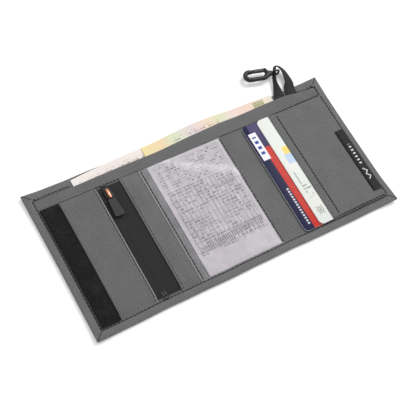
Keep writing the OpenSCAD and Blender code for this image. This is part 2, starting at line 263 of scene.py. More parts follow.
# Bonded polyester sewing thread: black with a slight gloss.
thread, _, _ = plain_material("polyester_thread", "#0b0b0c", 0.6, Specular_IOR_Level=0.2)
# Nylon monofilament coil of the zip: smooth and black.
monofilament, _, _ = plain_material("nylon_monofilament", "#161617", 0.35)
# Blackened steel pin, turned smooth.
steel, _, _ = plain_material("blackened_steel", "#2c2c2e", 0.35, Metallic=1.0)


def speckled(name, colour, light, roughness, grain, depth, **sockets):
    """A moulded or cast surface: one colour that varies slightly with a fine grain."""
    material, tree, shader = plain_material(name, colour, roughness, **sockets)
    spots = add(tree, "TexNoise", {"Vector": flat_place(tree), "Scale": 1 / grain, "Detail": 4})
    surface(tree, shader, tinted(tree, colour, light, spots), spots, depth)
    return material


# Acetal snap hook: dark, satin, with the fine grain of a blasted mould.
acetal = speckled("moulded_acetal", "#0c0c0d", "#1a1a1b", 0.45, 0.5, 0.02, Specular_IOR_Level=0.5)
# Soft PVC zip pull: dark warm grey and dull.
soft_pvc = speckled("soft_pvc", "#161414", "#282525", 0.6, 0.6, 0.03)
# The slider's body, blackened zinc: dark with a dull shine.
black_oxide = speckled("blackened_zinc", "#1d1c1c", "#3a3634", 0.4, 0.8, 0.02, Metallic=0.8)
# The slider's bridge, copper plated and rubbed bright where the pull has worn it.
copper_plate = speckled("copper_plated_zinc", "#9a5f48", "#d89a80", 0.3, 1.2, 0.02, Metallic=1.0)


def film_material():
    """Clear PVC film: nearly invisible, with soft glare along one crease and where it has rippled."""
    material, tree, shader = plain_material("clear_pvc_film", "#f4f4f8", 0.16, Specular_IOR_Level=0.75,
                                            Coat_Weight=0.6, Coat_Roughness=0.1)
    glare_at, glare_half = 33, 4.5
    place = flat_place(tree)
    haze = add(tree, "TexNoise", {"Vector": place, "Scale": 0.05, "Detail": 3, "Distortion": 1.2})
    x, y, _ = add(tree, "SeparateXYZ", (place,)).node.outputs
    # The whitish band along a diagonal crease is a painted glare: the white film is made less clear there.
    across = add(tree, "Math", (x, 0.62, y), operation="MULTIPLY_ADD")
    across = add(tree, "Math", (haze, 14, across), operation="MULTIPLY_ADD")
    away = add(tree, "Math", (across, glare_at), operation="SUBTRACT")
    away = add(tree, "Math", (away,), operation="ABSOLUTE")
    away = add(tree, "Math", (away, glare_half), operation="DIVIDE")
    crease_glare = add(tree, "Math", (1, away), operation="SUBTRACT", use_clamp=True)
    veil = add(tree, "Math", (haze, 0.18, -0.02), operation="MULTIPLY_ADD")
    alpha = add(tree, "Math", (crease_glare, 0.14, veil), operation="MULTIPLY_ADD")
    tree.links.new(alpha, shader.inputs["Alpha"])
    scuffs = add(tree, "TexNoise", {"Vector": place, "Scale": 0.5, "Detail": 5})
    relief = add(tree, "Math", (scuffs, 0.015, haze), operation="MULTIPLY_ADD")
    surface(tree, shader, None, relief, 0.8)
    return material


clear_film = film_material()


# Printed things read their own UV map, which starts at the piece's lower left corner.

def print_place(tree):
    """The printed surface's own millimetres: its x and y sockets and the vector."""
    place = add(tree, "Mapping", {"Vector": add(tree, "UVMap"), "Scale": (UV_SPAN, UV_SPAN, 0)})
    x, y, _ = add(tree, "SeparateXYZ", (place,)).node.outputs
    return x, y, place


def patch(tree, x, y, x_range, y_range, marks=1.0):
    """The marks that lie inside a rectangle of the print."""
    for value, (start, end) in ((x, x_range), (y, y_range)):
        for operation, limit in (("GREATER_THAN", start), ("LESS_THAN", end)):
            inside = add(tree, "Math", (value, limit), operation=operation)
            marks = add(tree, "Math", (inside, marks), operation="MULTIPLY")
    return marks


def bars(tree, value, pitch, share):
    """1 on stripes that repeat at a pitch and take that share of it."""
    across = add(tree, "Math", (value, pitch), operation="MODULO")
    return add(tree, "Math", (across, pitch * share), operation="LESS_THAN")


def type_marks(tree, place, x, y, letter, line):
    """Rows of unreadable marks the size of small type: letter is their length and line the row's pitch."""
    grid = add(tree, "Math", (bars(tree, y, line, 0.55), bars(tree, x, letter, 0.78)), operation="MULTIPLY")
    cell = add(tree, "Mapping", {"Vector": place, "Scale": (1 / letter, 1 / line, 1)})
    ink = add(tree, "TexWhiteNoise", (add(tree, "VectorMath", (cell,), operation="FLOOR"),))
    ink = add(tree, "Math", (ink, 1.6, -0.4), operation="MULTIPLY_ADD", use_clamp=True)
    return add(tree, "Math", (grid, ink), operation="MULTIPLY")


def paper_material():
    """Uncoated paper slip: pale lilac grey, printed with a plain table and rows of unreadable marks."""
    material, tree, shader = plain_material("printed_paper", "#d6d0d6", 0.7)
    x, y, place = print_place(tree)
    mottle = add(tree, "TexNoise", {"Vector": place, "Scale": 0.16, "Detail": 4})
    colour = tinted(tree, "#a8a0a8", "#c3bdc3", mottle)
    rows = patch(tree, x, y, (3, 51), (64, 84), type_marks(tree, place, x, y, 2.3, 1.9))
    colour = tinted(tree, colour, "#514b52", rows, 0.9)
    columns = patch(tree, x, y, (2, 53), (16, 63), bars(tree, x, 3.1, 0.26))
    crossings = patch(tree, x, y, (2, 53), (15, 64), bars(tree, y, 7.8, 0.07))
    grid = add(tree, "Math", (columns, crossings), operation="MAXIMUM")
    colour = tinted(tree, colour, "#554f56", grid, 0.5)
    # Darker streaks running up the slip over the printed table.
    along = add(tree, "Mapping", {"Vector": place, "Scale": (0.3, 0.05, 1)})
    streaks = add(tree, "TexNoise", {"Vector": along, "Scale": 1, "Detail": 3})
    streaks = add(tree, "Math", (streaks, 2.2, -0.85), operation="MULTIPLY_ADD", use_clamp=True)
    colour = tinted(tree, colour, "#7d767e", patch(tree, x, y, (2, 53), (15, 84), streaks), 0.6)
    clumps = add(tree, "TexNoise", {"Vector": place, "Scale": 0.09, "Detail": 1})
    clumps = add(tree, "Math", (clumps, 0.43), operation="GREATER_THAN")
    figures = add(tree, "Math", (type_marks(tree, place, x, y, 1.03, 2.3), clumps), operation="MULTIPLY")
    colour = tinted(tree, colour, "#322d34", patch(tree, x, y, (3, 52), (14, 63), figures), 0.9)
    slant = add(tree, "Math", (x, -0.1, y), operation="MULTIPLY_ADD")
    wear = add(tree, "Math", (mottle, 2.4, -0.5), operation="MULTIPLY_ADD", use_clamp=True)
    totals = add(tree, "Math", (bars(tree, x, 1.55, 0.5), wear), operation="MULTIPLY")
    colour = tinted(tree, colour, "#2f2a31", patch(tree, x, slant, (4, 52), (15, 19.5), totals))
    surface(tree, shader, colour, mottle, 0.3)
    return material


printed_paper = paper_material()


def laminated(name, colour):
    """A laminated PVC card's material: gloss film over print."""
    return plain_material(name, colour, 0.45, Specular_IOR_Level=0.2, Coat_Weight=0.06, Coat_Roughness=0.15)


def navy_card_material():
    """Laminated PVC card: glossy navy with a red band, a white panel and plain bars for print."""
    material, tree, shader = laminated("laminated_pvc_navy", "#1a1b42")
    x, y, place = print_place(tree)
    cloud = add(tree, "TexNoise", {"Vector": place, "Scale": 0.2, "Detail": 3})
    colour = tinted(tree, "#141538", "#1f1f4a", cloud)
    # The lilac grey toward the card's far end is a painted reflection of the light on its gloss.
    far_end_reflection = add(tree, "MapRange", {0: y, 1: 60, 2: 80})
    colour = tinted(tree, colour, "#665c86", patch(tree, x, y, (4, 60), (-1, 100), far_end_reflection), 0.6)
    edge = add(tree, "Math", (y, -0.012, 7.2), operation="MULTIPLY_ADD")
    beyond = add(tree, "Math", (x, edge), operation="GREATER_THAN")
    red = tinted(tree, "#bd2a20", "#d1392c", cloud)
    colour = tinted(tree, colour, red, patch(tree, x, y, (-1, 100), (-1, 66), beyond))
    colour = tinted(tree, colour, "#f0f0f4", patch(tree, x, y, (1.7, 7.4), (57, 79)))
    colour = tinted(tree, colour, "#3c4fa0", patch(tree, x, y, (3.1, 5.9), (60, 76), bars(tree, y, 4.4, 0.5)))
    dashes = patch(tree, x, y, (4.4, 5.9), (4, 33), bars(tree, y, 2.1, 0.62))
    colour = tinted(tree, colour, "#e9e9f2", dashes, 0.85)
    tree.links.new(colour, shader.inputs["Base Color"])
    return material


def white_card_material():
    """Laminated PVC card: glossy off-white with pale tints and a few small marks."""
    material, tree, shader = laminated("laminated_pvc_white", "#eef2ea")
    x, y, place = print_place(tree)
    cloud = add(tree, "TexNoise", {"Vector": place, "Scale": 0.06, "Detail": 2})
    colour = tinted(tree, "#dde6e8", "#efecdd", cloud)
    colour = tinted(tree, colour, "#f2d878", patch(tree, x, y, (5.5, 20), (55, 61)))
    colour = tinted(tree, colour, "#bfd3ec", patch(tree, x, y, (4.5, 20), (47.5, 55)))
    lines = patch(tree, x, y, (3.2, 4.4), (31, 41), bars(tree, y, 1.1, 0.6))
    marks = patch(tree, x, y, (3.2, 9), (20, 31), type_marks(tree, place, x, y, 1.2, 2.4))
    colour = tinted(tree, colour, "#8d9a97", add(tree, "Math", (lines, marks), operation="MAXIMUM"))
    centred = add(tree, "Mapping", {"Vector": place, "Location": (-5.6, -9.5, 0)})
    rings = add(tree, "TexWave", {"Vector": centred, "Scale": 0.24}, "Fac", wave_type="RINGS",
                rings_direction="Z")
    rings = add(tree, "Math", (rings, 0.7), operation="GREATER_THAN")
    colour = tinted(tree, colour, "#77736c", patch(tree, x, y, (3.4, 7.8), (6.5, 12.5), rings))
    tree.links.new(colour, shader.inputs["Base Color"])
    return material


navy_pvc = navy_card_material()
white_pvc = white_card_material()
# The white core that shows on a laminated card's cut edge.
card_core, _, _ = plain_material("pvc_card_core", "#e8e8ea", 0.4)


def label_material():
    """Woven satin label: black, with a plain zigzag and bars in white thread along its middle."""
    material, tree, shader = plain_material("woven_satin_label", "#0d0d0e", 0.55, Specular_IOR_Level=0.25)
    x, y, _ = print_place(tree)
    ribs = bars(tree, y, 0.6, 0.5)
    off = add(tree, "Math", (x, 2.4), operation="SUBTRACT")
    off = add(tree, "Math", (off, add(tree, "Math", (y, 2.2), operation="PINGPONG")), operation="SUBTRACT")
    line = add(tree, "Math", (add(tree, "Math", (off,), operation="ABSOLUTE"), 0.5), operation="LESS_THAN")
    line = patch(tree, x, y, (-1, 100), (9, 18), line)
    strokes = patch(tree, x, y, (2.7, 4.5), (20.5, 38), bars(tree, y, 2.7, 0.42))
    white = add(tree, "Math", (line, strokes), operation="MAXIMUM")
    colour = tinted(tree, "#0b0b0c", "#1c1c1e", ribs)
    surface(tree, shader, tinted(tree, colour, "#dcdcdf", white), ribs, 0.06)
    return material


satin_label = label_material()


def note_material(name, tints, marks_from, block_strength):
    """Banknote paper: soft cotton paper in bands of pale ink, with fine guilloche lines and small marks."""
    material, tree, shader = plain_material(name, tints[0][1], 0.75)
    length = 117
    x, y, place = print_place(tree)
    wobble = add(tree, "TexNoise", {"Vector": place, "Scale": 0.12, "Detail": 3})
    wobble = add(tree, "Math", (wobble, 0.5), operation="SUBTRACT")
    where = add(tree, "Math", (wobble, 9, x), operation="MULTIPLY_ADD")
    bands = add(tree, "ValToRGB", (add(tree, "Math", (where, length), operation="DIVIDE"),))
    stops = bands.node.color_ramp.elements
    for i, (at, tint) in enumerate(tints):
        stop = stops[i] if i < 2 else stops.new(at / length)
        stop.position = at / length
        stop.color = rgb(tint)
    lines = add(tree, "TexWave", {"Vector": place, "Scale": 0.5, "Distortion": 5, "Detail": 1,
                                  "Detail Scale": 0.3}, "Fac", bands_direction="DIAGONAL")
    colour = tinted(tree, bands, "#b9a79a", lines, 0.22)
    marks = patch(tree, x, y, marks_from, (52, 58), type_marks(tree, place, x, y, 2.2, 2.4))
    colour = tinted(tree, colour, "#7c6f66", marks, 0.6)
    greens = tinted(tree, "#a9ac7a", "#8f9562", bars(tree, y, 2.6, 0.5))
    colour = tinted(tree, colour, greens, patch(tree, x, y, (87.5, 96), (52, 60.6)), block_strength)
    surface(tree, shader, colour, lines, 0.05)
    return material


pale_note = note_material("cotton_paper_pale",
                          [(0, "#f5efec"), (30, "#f3e8e4"), (60, "#f5eee6"), (117, "#efe6e0")], (2, 115), 0.0)
warm_note = note_material("cotton_paper_warm",
                          [(0, "#f3e3a6"), (14, "#f1d9b0"), (26, "#dbe6c8"), (38, "#e6d8dc"), (52, "#f3dcc4"),
                           (62, "#d9e2bd"), (70, "#f0dad6"), (84, "#f2d6c8"), (98, "#ece2cf"),
                           (110, "#dcd8d2")], (20, 60), 0.8)


# ---------------------------------------------------------------- making pieces

def stations(start, end, step=3.0):
    """Places across a piece: even steps, and close ones near the folds."""
    marks, fine = [], 0.6
    x = start
    while x < end - 0.3 * fine:
        marks.append(x)
        folding = (LEFT_FOLD - LEFT_REACH - 1 <= x < LEFT_FOLD + 1
                   or RIGHT_FOLD - 1 <= x < RIGHT_FOLD + RIGHT_REACH + 1)
        near = min((f for f in (LEFT_FOLD - LEFT_REACH - 1, RIGHT_FOLD - 1) if f > x), default=1e9)
        x = x + fine if folding else min(x + step, near)
    return marks + [end]


def finished(bm, name, material, replaces=()):
    """Turns a bmesh in millimetres into a piece in metres."""
    bmesh.ops.scale(bm, vec=(MM, MM, MM), verts=bm.verts[:])
    mesh = bpy.data.meshes.new(name)
    bm.to_mesh(mesh)
    bm.free()
    piece = bpy.data.objects.new(name, mesh)
    bpy.context.scene.collection.objects.link(piece)
    mesh.materials.append(material)
    mesh.shade_smooth()
    mesh.set_sharp_from_angle(angle=CRISP)
    if replaces:
        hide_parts(*replaces)
    return piece


def cloth(name, xs, ys, top, thick, material, replaces=(), laid=True, shift=None):
    """A piece of cloth or paper over a grid of places: its upper face at top(x, y), closed all round.

    shift(x, y) is how far a point is moved up the piece's own plane.
    """
    bm = bmesh.new()
    bmesh.ops.create_grid(bm, x_segments=len(xs) - 1, y_segments=len(ys) - 1, size=0.5)
    uv = bm.loops.layers.uv.verify()
    for v in bm.verts:
        x = xs[round((v.co.x + 0.5) * (len(xs) - 1))]
        y = ys[round((v.co.y + 0.5) * (len(ys) - 1))]
        v.co = (x, y, top(x, y))
    for face in bm.faces:
        for loop in face.loops:
            loop[uv].uv = ((loop.vert.co.x - xs[0]) / UV_SPAN, (loop.vert.co.y - ys[0]) / UV_SPAN)
    grown = bmesh.ops.extrude_face_region(bm, geom=bm.faces[:])["geom"]
    lower = [v for v in grown if isinstance(v, bmesh.types.BMVert)]
    bmesh.ops.translate(bm, verts=lower, vec=(0, 0, -thick))
    for v in bm.verts:
        if shift:
            v.co.y += shift(v.co.x, v.co.y)
        if laid:
            v.co = lie(*v.co)
    bmesh.ops.recalc_face_normals(bm, faces=bm.faces[:])
    return finished(bm, name, material, replaces)


def bend(piece, side):
    """Bakes the piece's placement into its mesh; the left and right sides are treated alike."""
    if side == "left":
        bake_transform(piece)
    else:
        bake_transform(piece)
    return piece


def halves(start, end):
    """The two halves of a layer that crosses both folds: name, places across and side."""
    return [("left", stations(start, 0), "left"), ("right", stations(0, end), "right")]


def rows(start, end, step=3.5):
    """Even places up a piece."""
    count = max(2, round((end - start) / step))
    return [start + (end - start) * i / count for i in range(count + 1)]


def seam_drop(distance, reach):
    """How far a sewn edge has come up, from 0 at its stitches to 1."""
    return ease(distance / reach)


# ---------------------------------------------------------------- the cloth body

def shell_pieces():
    """Outer shell, lining and inner wall, each in two halves that meet in the middle panel."""
    ys = rows(BOTTOM + EDGE_INSET, TOP - EDGE_INSET)
    names = {"left": ["left"], "right": ["middle", "right"]}
    for name, xs, side in halves(LEFT + EDGE_INSET, RIGHT - EDGE_INSET):
        nodes = names[side]
        bend(cloth(f"shell_cloth_{name}", xs, ys, lambda x, y: SHELL_Z, SHELL_Z - 0.15, oxford_nylon,
                   [f"shell_{n}" for n in nodes]), side)
        bend(cloth(f"lining_cloth_{name}", xs, ys, lambda x, y: LINING_Z, LINING_THICK, polyester_lining,
                   [f"lining_{n}" for n in nodes]), side)
        bend(cloth(f"inner_wall_cloth_{name}", xs, rows(BOTTOM + EDGE_INSET, WALL_TOP), hem_height,
                   WALL_THICK, oxford_nylon, [f"inner_wall_{n}" for n in nodes],
                   shift=hem_bow), side)
        hem = cloth(f"wall_hem_{name}", [x for x in xs if SEAM_LEFT - 3 <= x <= SEAM_RIGHT + 3],
                    [HEM_BOTTOM - 0.1, HEM_BOTTOM + 0.4, HEM_BOTTOM + 2, HEM_BOTTOM + 4, WALL_TOP - 1.2,
                     WALL_TOP - 0.3, WALL_TOP + 0.1],
                    lambda x, y: hem_height(x, y) + HEM_FOLD * seam_drop(WALL_TOP + 0.25 - y, 0.8),
                    HEM_THICK, oxford_nylon, shift=hem_bow)
        bend(hem, side)


def hem_bow(x, y):
    """The wall's top edge is pushed up by the notes behind it, most over the cards."""
    bow = 0.1 + 2.9 * ease((x + 60) / 105) + 0.2 * math.sin(x / 9)
    ends = ease((x + 88) / 14) * ease((102 - x) / 20)
    return bow * ends * max(0, (y - HEM_BOTTOM - 0.8) / (WALL_TOP - HEM_BOTTOM))


def hem_height(x, y):
    """The inner wall's upper face: it gapes a little over the notes along its top."""
    over_notes = ease((x + 84) / 8) * ease((100 - x) / 8)
    over_notes *= 1 - ease((x - WINDOW_LEFT + 6) / 6) * ease((WINDOW_RIGHT + 6 - x) / 6)
    gape = 0.35 * ease((y - HEM_BOTTOM) / 7) * over_notes * (1 + 0.5 * math.sin(x / 11))
    return WALL_Z + gape


def border_heights(x, y):
    """The border's upper face: on the lining along the top, on the inner wall elsewhere."""
    wall = WALL_Z + TAPE_STAND
    if y < WALL_TOP:
        return wall
    corner = ease((abs(x) - (RIGHT - 14)) / 12)
    return LINING_Z + 0.08 + (wall - LINING_Z - 0.08) * corner


def binding(name, run, places, replaces):
    """Bias tape folded over an edge: a U section carried along the edge, mitred at the corners.

    run is (axis, sign): ("x", 1) is the top edge, ("y", -1) the left side.
    """
    axis, sign = run
    bm = bmesh.new()
    bmesh.ops.create_grid(bm, x_segments=len(places) - 1, y_segments=2 * TAPE_STEPS, size=0.5)
    for v in bm.verts:
        p = places[round((v.co.x + 0.5) * (len(places) - 1))]
        step = round(v.co.y * 2 * TAPE_STEPS)
        inner = BORDER * abs(step) / TAPE_STEPS
        if axis == "x":
            x_limit = RIGHT - inner
            x, y = min(max(p, -x_limit), x_limit), sign * (TOP - inner)
        else:
            y_limit = TOP - inner
            x, y = sign * (RIGHT - inner), min(max(p, -y_limit), y_limit)
        face = border_heights(x, y)
        under_notes = axis == "x" and sign > 0 and abs(x) < RIGHT - 14
        puff = (0.1 if under_notes else 0.28) * math.sin(math.pi * inner / BORDER) ** 0.6
        round_off = math.sqrt(1 - (1 - min(inner / 0.9, 1)) ** 2)
        middle = face / 2
        if step <= 0:
            z = middle + (face + puff - middle) * round_off
        else:
            z = max(middle - middle * round_off, TAPE_THICK + 0.02)
        v.co = lie(x, y, z)
    bmesh.ops.remove_doubles(bm, verts=bm.verts[:], dist=0.001)
    bmesh.ops.recalc_face_normals(bm, faces=bm.faces[:])
    bmesh.ops.solidify(bm, geom=bm.faces[:], thickness=TAPE_THICK)
    bmesh.ops.recalc_face_normals(bm, faces=bm.faces[:])
    return finished(bm, name, bias_binding, replaces)


def border_pieces():
    """The tape along all four edges; its top and bottom runs cross the folds."""
    for name, xs, side in halves(LEFT, RIGHT):
        nodes = {"left": ["left"], "right": ["middle", "right"]}[side]
        for edge, sign in (("top", 1), ("bottom", -1)):
            bend(binding(f"binding_{edge}_{name}", ("x", sign), xs,
                         [f"border_{n}_{edge}" for n in nodes]), side)
    ends = rows(BOTTOM, TOP, 3)
    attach(binding("binding_side_left", ("y", -1), ends, ["border_left_side"]), "left_panel")
    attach(binding("binding_side_right", ("y", 1), ends, ["border_right_side"]), "right_panel")


# ---------------------------------------------------------------- stitching, with the painted shade along the seams

def stitches_and_seam_shade(name, start, end, top, side=None, body=None, length=3.0, gap=-0.35, size=0.36, depth=None):
    """A run of sewing thread from start to end on the cloth's face: one rounded bar per stitch. The bars run
    together into one unbroken black line, which also paints the shade along the seam.

    With a fold's side it is baked where it lies; otherwise it rides on a body. A gap under 0 makes each stitch
    overlap the next.
    """
    start, end = Vector((*start, 0)), Vector((*end, 0))
    along = (end - start).normalized()
    turn = Matrix.Rotation(math.atan2(along.y, along.x), 4, "Z")
    count = int((end - start).length / (length + gap))
    bm = bmesh.new()
    for i in range(count):
        middle = start + along * (length + gap) * (i + 0.5)
        ball = bmesh.ops.create_icosphere(bm, subdivisions=1, radius=1)["verts"]
        shape = Matrix.Diagonal((length / 2, size, depth or size, 1))
        place = lie(middle.x, middle.y, top(middle.x, middle.y) + 0.1)
        bmesh.ops.transform(bm, matrix=Matrix.Translation(place) @ turn @ shape, verts=ball)
    piece = finished(bm, name, thread)
    return bend(piece, side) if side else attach(piece, body)


def hem_top(x, y):
    """Where the hem's stitches lie: pulled in under the window's mouth, where the paper slides over them."""
    return hem_height(x, y) + HEM_FOLD + (-0.04 if WINDOW_LEFT - 1 < x < WINDOW_RIGHT + 1 else 0.08)


def border_top(x, y):
    """Where the border's stitches lie: pulled into the tape along the top, where the notes slide over it."""
    if y < WALL_TOP:
        return border_heights(x, y) + 0.1
    under_notes = low("note_a_left").x - 2 < x < high("note_b_right").x + 2
    return border_heights(x, y) - (0.12 if under_notes else 0.02)


def stitching():
    """Every seam's thread, round the border and along the hems, the pockets and the hook strip, as unbroken
    black lines that are also the painted shade along the seams.
    """
    inner = BORDER - STITCH_INSET
    for name, xs, side in halves(LEFT + inner, RIGHT - inner):
        first, last = xs[0], xs[-1]
        stitches_and_seam_shade(f"stitch_border_bottom_{name}", (first, BOTTOM + inner), (last, BOTTOM + inner), border_top,
                 side)
        stitches_and_seam_shade(f"stitch_border_top_{name}", (first, TOP - inner), (last, TOP - inner), border_top, side,
                 depth=0.06)
        stitches_and_seam_shade(f"stitch_hem_{name}", (first, HEM_BOTTOM + 0.3), (last, HEM_BOTTOM + 0.3), hem_top, side,
                 depth=0.06)
    for name, x, body in (("left", LEFT + inner, "left_panel"), ("right", RIGHT - inner, "right_panel")):
        stitches_and_seam_shade(f"stitch_border_side_{name}", (x, BOTTOM + inner), (x, TOP - inner), border_top, body=body)
    for x, side in ((LEFT, "left_panel"), (RIGHT, "right_panel")):
        for y, name in ((BOTTOM, "bottom"), (TOP, "top")):
            toward = (-math.copysign(1, x), -math.copysign(1, y))
            start = (x + 0.5 * toward[0], y + 0.5 * toward[1])
            end = (x + inner * toward[0], y + inner * toward[1])
            stitches_and_seam_shade(f"mitre_{name}_{side}", start, end, lambda x, y: border_heights(x, y) + 0.34,
                     body=side, length=1.6, gap=0.0, size=0.24)
    low_y, high_y = SEAM_BOTTOM + 1, HEM_BOTTOM - 0.5
    stitches_and_seam_shade("stitch_window_left", (WINDOW_LEFT + 0.8, low_y), (WINDOW_LEFT + 0.8, high_y),
             film_height, body="middle_panel", depth=0.15)
    stitches_and_seam_shade("stitch_window_right", (WINDOW_RIGHT - 0.4, low_y), (WINDOW_RIGHT - 0.4, high_y),
             film_height, body="middle_panel", depth=0.15)
    for name, x in (("left", ZIP_OPEN[0] - 0.9), ("right", ZIP_OPEN[1] + 1.4)):
        stitches_and_seam_shade(f"stitch_zip_{name}", (x, low_y), (x, high_y), lambda x, y: coin_height(x, y) + 0.1,
                 body="left_panel", size=0.2)
    inset = 0.55
    for name, start, end in (
            ("bottom", (POCKET_MOUTH + 0.5, SEAM_BOTTOM + inset), (SEAM_RIGHT - inset, SEAM_BOTTOM + inset)),
            ("top", (POCKET_MOUTH + 0.5, HEM_BOTTOM - inset), (SEAM_RIGHT - inset, HEM_BOTTOM - inset)),
            ("side", (SEAM_RIGHT - inset, SEAM_BOTTOM + inset), (SEAM_RIGHT - inset, HEM_BOTTOM - inset))):
        stitches_and_seam_shade(f"stitch_pocket_{name}", start, end, pocket_height, body="right_panel")
    mouth = POCKET_MOUTH + 5.7
    stitches_and_seam_shade("stitch_pocket_hem", (mouth, low_y + 1), (mouth, high_y - 1),
             lambda x, y: pocket_height(x, y) + 0.28, body="right_panel")
    strip_low, strip_high = low("hook_strip"), high("hook_strip")
    for name, x in (("outer", strip_low.x + 0.9), ("inner", strip_high.x - 0.9)):
        stitches_and_seam_shade(f"stitch_hook_strip_{name}", (x, low_y), (x, high_y), lambda x, y: hook_height(x, y) - 0.1,
                 body="left_panel")


# ---------------------------------------------------------------- coin pocket, zip and hook strip

def coin_height(x, y):
    """The coin pocket's upper face: down at its sewn edges, full in the middle."""
    ends = seam_drop(y - SEAM_BOTTOM, 5) * seam_drop(HEM_BOTTOM + 0.3 - y, 5)
    sides = seam_drop(x - SEAM_LEFT, 6) * seam_drop(WINDOW_LEFT - 0.6 - x, 6)
    swell = 0.12 * noise.noise(Vector((x / 16, y / 16, 3)))
    return PANEL_Z + 0.15 + (COIN_Z - PANEL_Z - 0.15) * ends * sides + swell * ends * sides


def painted_highlight_edge(name, x, top, body):
    """The light line along a folded edge of the nylon: a painted highlight where the edge catches the light.
    """
    half = 0.31

    def rounded(u, y):
        return top(x, y) + 0.32 * math.sqrt(1 - ((u - x) / half) ** 2)

    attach(cloth(name, rows(x - 0.3, x + 0.3, 0.15), rows(SEAM_BOTTOM + 0.5, HEM_BOTTOM - 0.5, 2), rounded,
                  0.3, painted_highlight_nylon), body)


def hook_height(x, y):
    """The hook strip's upper face, on the coin pocket."""
    return coin_height(x, y) + 1.1


def coin_pocket():
    """The coin pocket's face on both sides of the zip, rolled under beside it, and the hook strip."""
    ys = rows(SEAM_BOTTOM - 2, HEM_BOTTOM + 0.2, 2.2)
    xs = [SEAM_LEFT - 2, SEAM_LEFT, *rows(SEAM_LEFT + 1.5, ZIP_OPEN[0] - 2.6, 2.5), ZIP_OPEN[0] - 1.6,
          ZIP_OPEN[0] - 0.6, ZIP_OPEN[0] - 0.1]

    def rolled(x, y):
        return coin_height(x, y) + 0.18 * ease((3 - min(abs(x - e) for e in ZIP_OPEN)) / 1.2)

    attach(cloth("coin_face_left", xs, ys, rolled, 0.35, oxford_nylon,
                  ["coin_pocket_face_left"]), "left_panel")
    xs = [ZIP_OPEN[1] + 0.1, ZIP_OPEN[1] + 0.6, ZIP_OPEN[1] + 1.6,
          *stations(ZIP_OPEN[1] + 2.6, WINDOW_LEFT + 0.4, 2)]
    bend(cloth("coin_face_right", xs, ys, rolled, 0.35, oxford_nylon,
               ["coin_pocket_face_right"]), "left")
    strip_low, strip_high = low("hook_strip"), high("hook_strip")
    strip = cloth("hook_nap", rows(strip_low.x, strip_high.x, 1.1), rows(strip_low.y, strip_high.y, 1.6),
                  lambda x, y: hook_height(x, y) + 0.1 * noise.noise(Vector((x, y, 0))), 1.0,
                  hook_tape, ["hook_strip"])
    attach(strip, "left_panel")


def zip_pieces():
    """The zip's tapes as cloth, its slider and its moulded pull. The coils and stops stay CAD nodes."""

    def tape_height(x, y):
        ridge = 0.2 * ease((1.6 - abs(x - ZIP_X)) / 1.2)
        return coin_height(x, y) - 0.5 + ridge

    ys = rows(low("zip_tape_left").y, high("zip_tape_left").y, 3)
    for name in ("left", "right"):
        node = f"zip_tape_{name}"
        ends = (low(node).x, high(node).x)
        outer = max(ends, key=lambda x: abs(x - ZIP_X))
        xs = rows(*sorted([outer, ZIP_X + math.copysign(0.02, outer - ZIP_X)]), 0.6)
        tape = cloth(f"{node}_twill", xs, ys, tape_height, 0.22, zip_twill, [node])
        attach(tape, "left_panel")
    slider = softened("zip_slider", "slider_casting", 0.18, black_oxide, "slider")
    slider.data.materials.append(copper_plate)
    plate_top = low("zip_pull").z * MM
    for face in slider.data.polygons:
        face.material_index = 1 if face.center.z > plate_top + 0.1 * MM else 0
    moulded("zip_pull", "pull_moulding", 0.13, 8, soft_pvc, "pull")


def moulded(node, name, grain, rounding, material, body):
    """A moulding in place of a CAD node, with its skin remeshed and smoothed so that every edge is round."""
    bm = bmesh.new()
    bm.from_mesh(frame["nodes"][node].data)
    bmesh.ops.remove_doubles(bm, verts=bm.verts[:], dist=WELD * MM)
    bmesh.ops.scale(bm, vec=(1 / MM,) * 3, verts=bm.verts[:])
    return skinned(finished(bm, name, material, [node]), grain, rounding, body)


def skinned(piece, grain, rounding, body):
    """Gives a moulding one even skin, so that what it is made of flows together."""
    remesh = piece.modifiers.new("skin", "REMESH")
    remesh.mode = "VOXEL"
    remesh.voxel_size = grain * MM
    remesh.use_smooth_shade = True
    smooth = piece.modifiers.new("rounding", "SMOOTH")
    smooth.factor = 0.5
    smooth.iterations = rounding
    bpy.context.view_layer.update()
    seen = piece.evaluated_get(bpy.context.evaluated_depsgraph_get())
    mesh = bpy.data.meshes.new_from_object(seen)
    piece.modifiers.clear()
    piece.data = mesh
    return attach(piece, body)


def from_node(node):
    """A CAD node's shape as a bmesh in millimetres, with one face for each flat side."""
    bm = bmesh.new()
    bm.from_mesh(frame["nodes"][node].data)
    bmesh.ops.scale(bm, vec=(1 / MM,) * 3, verts=bm.verts[:])
    bmesh.ops.remove_doubles(bm, verts=bm.verts[:], dist=WELD)
    bmesh.ops.dissolve_limit(bm, angle_limit=math.radians(2), verts=bm.verts[:], edges=bm.edges[:])
    return bm


def softened(node, name, width, material, body):
    """A copy of a CAD node with its hard edges rounded, in place of the node."""
    bm = from_node(node)
    hard = [e for e in bm.edges if len(e.link_faces) == 2 and e.calc_face_angle(0) > math.radians(35)]
    bmesh.ops.bevel(bm, geom=hard, offset=width, offset_type="OFFSET", segments=2, profile=0.5,
                    affect="EDGES", clamp_overlap=True, material=-1)
    piece = finished(bm, name, material, [node])
    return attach(piece, body)


# ---------------------------------------------------------------- window and card pocket

def film_height(x, y):
    """The film's upper face: sewn down at both sides and the bottom, rippled between them."""
    held = seam_drop(x - WINDOW_LEFT, 5) * seam_drop(WINDOW_RIGHT - x, 4) * seam_drop(y - SEAM_BOTTOM, 4)
    ripple = 0.1 * math.sin((x + 0.8 * y) / 5.5) + 0.08 * math.sin((x - 1.7 * y) / 8)
    return PANEL_Z + 0.2 + held * (high("window_film").z - PANEL_Z - 0.26 + ripple * 0.3)


